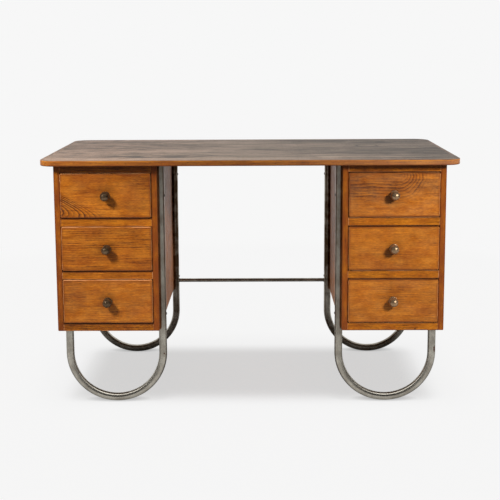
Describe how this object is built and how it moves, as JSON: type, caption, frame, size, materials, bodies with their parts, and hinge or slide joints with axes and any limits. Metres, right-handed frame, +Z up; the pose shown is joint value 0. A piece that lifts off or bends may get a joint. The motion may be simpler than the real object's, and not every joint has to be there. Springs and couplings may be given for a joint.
{
  "type": "pedestal desk",
  "caption": "Kneehole desk: a lipped oak top on two wooden drawer pedestals carried by bent metal tube loops joined by a rear bar, with round-knobbed sliding drawers.",
  "frame": {"origin": "on the floor, under the middle of the desk's overall box, whose front is the face of the knobs", "axes": "+X to the sitter's right along the width, +Y to the rear, +Z up"},
  "size_m": [1.3, 0.707, 0.7799],
  "materials": {
    "top_veneer": "oak veneer, worn grey-brown, dull lacquer",
    "lipping_oak": "solid oak strip, orange-brown lacquer rubbed at the arris",
    "carcass_oak": "oak veneer, satin lacquer, grain upright",
    "rail_oak": "oak, satin lacquer, grain along the rail",
    "front_oak": "figured oak veneer, satin lacquer, grain across",
    "drawer_beech": "plain beech, bare and waxed",
    "drawer_ply": "birch plywood, bare",
    "carcass_ply": "stained plywood, dull lacquer",
    "inner_beech": "bare beech, rubbed where the drawers run",
    "nickel_tube": "aged nickel plating, satin, a little rust",
    "knob_brass": "turned brass, nickel worn brown, bright on the crown",
    "screw_steel": "darkened steel"
  },
  "bodies": {
    "root": {"top_panel": "top_veneer", "top_lipping": "lipping_oak", "left_inner_side": "carcass_oak", "left_outer_side": "carcass_oak", "left_top_rail": "rail_oak", "left_rear_stretcher": "inner_beech", "left_middle_rails": "rail_oak", "left_bottom_rail": "rail_oak", "left_floor": "carcass_ply", "left_back": "carcass_ply", "left_runners": "inner_beech", "right_inner_side": "carcass_oak", "right_outer_side": "carcass_oak", "right_top_rail": "rail_oak", "right_rear_stretcher": "inner_beech", "right_middle_rails": "rail_oak", "right_bottom_rail": "rail_oak", "right_floor": "carcass_ply", "right_back": "carcass_ply", "right_runners": "inner_beech", "front_left_loop": "nickel_tube", "front_right_loop": "nickel_tube", "rear_left_loop": "nickel_tube", "rear_right_loop": "nickel_tube", "rear_bar": "nickel_tube", "leg_plugs": "inner_beech", "leg_screws": "screw_steel", "floor_screws": "screw_steel", "top_screws": "screw_steel", "drawer_stops": "inner_beech"},
    "left_lower_drawer": {"left_lower_drawer_front": "front_oak", "left_lower_drawer_sides": "drawer_beech", "left_lower_drawer_back": "drawer_beech", "left_lower_drawer_bottom": "drawer_ply", "left_lower_drawer_knob": "knob_brass"},
    "left_middle_drawer": {"left_middle_drawer_front": "front_oak", "left_middle_drawer_sides": "drawer_beech", "left_middle_drawer_back": "drawer_beech", "left_middle_drawer_bottom": "drawer_ply", "left_middle_drawer_knob": "knob_brass"},
    "left_upper_drawer": {"left_upper_drawer_front": "front_oak", "left_upper_drawer_sides": "drawer_beech", "left_upper_drawer_back": "drawer_beech", "left_upper_drawer_bottom": "drawer_ply", "left_upper_drawer_knob": "knob_brass"},
    "right_lower_drawer": {"right_lower_drawer_front": "front_oak", "right_lower_drawer_sides": "drawer_beech", "right_lower_drawer_back": "drawer_beech", "right_lower_drawer_bottom": "drawer_ply", "right_lower_drawer_knob": "knob_brass"},
    "right_middle_drawer": {"right_middle_drawer_front": "front_oak", "right_middle_drawer_sides": "drawer_beech", "right_middle_drawer_back": "drawer_beech", "right_middle_drawer_bottom": "drawer_ply", "right_middle_drawer_knob": "knob_brass"},
    "right_upper_drawer": {"right_upper_drawer_front": "front_oak", "right_upper_drawer_sides": "drawer_beech", "right_upper_drawer_back": "drawer_beech", "right_upper_drawer_bottom": "drawer_ply", "right_upper_drawer_knob": "knob_brass"}
  },
  "joints": [
    {"name": "left_lower_drawer_slide", "type": "slide", "parent": "root", "child": "left_lower_drawer", "axis": [0, -1, 0], "range_m": [0, 0.38]},
    {"name": "left_middle_drawer_slide", "type": "slide", "parent": "root", "child": "left_middle_drawer", "axis": [0, -1, 0], "range_m": [0, 0.38]},
    {"name": "left_upper_drawer_slide", "type": "slide", "parent": "root", "child": "left_upper_drawer", "axis": [0, -1, 0], "range_m": [0, 0.38]},
    {"name": "right_lower_drawer_slide", "type": "slide", "parent": "root", "child": "right_lower_drawer", "axis": [0, -1, 0], "range_m": [0, 0.38]},
    {"name": "right_middle_drawer_slide", "type": "slide", "parent": "root", "child": "right_middle_drawer", "axis": [0, -1, 0], "range_m": [0, 0.38]},
    {"name": "right_upper_drawer_slide", "type": "slide", "parent": "root", "child": "right_upper_drawer", "axis": [0, -1, 0], "range_m": [0, 0.38]}
  ]
}
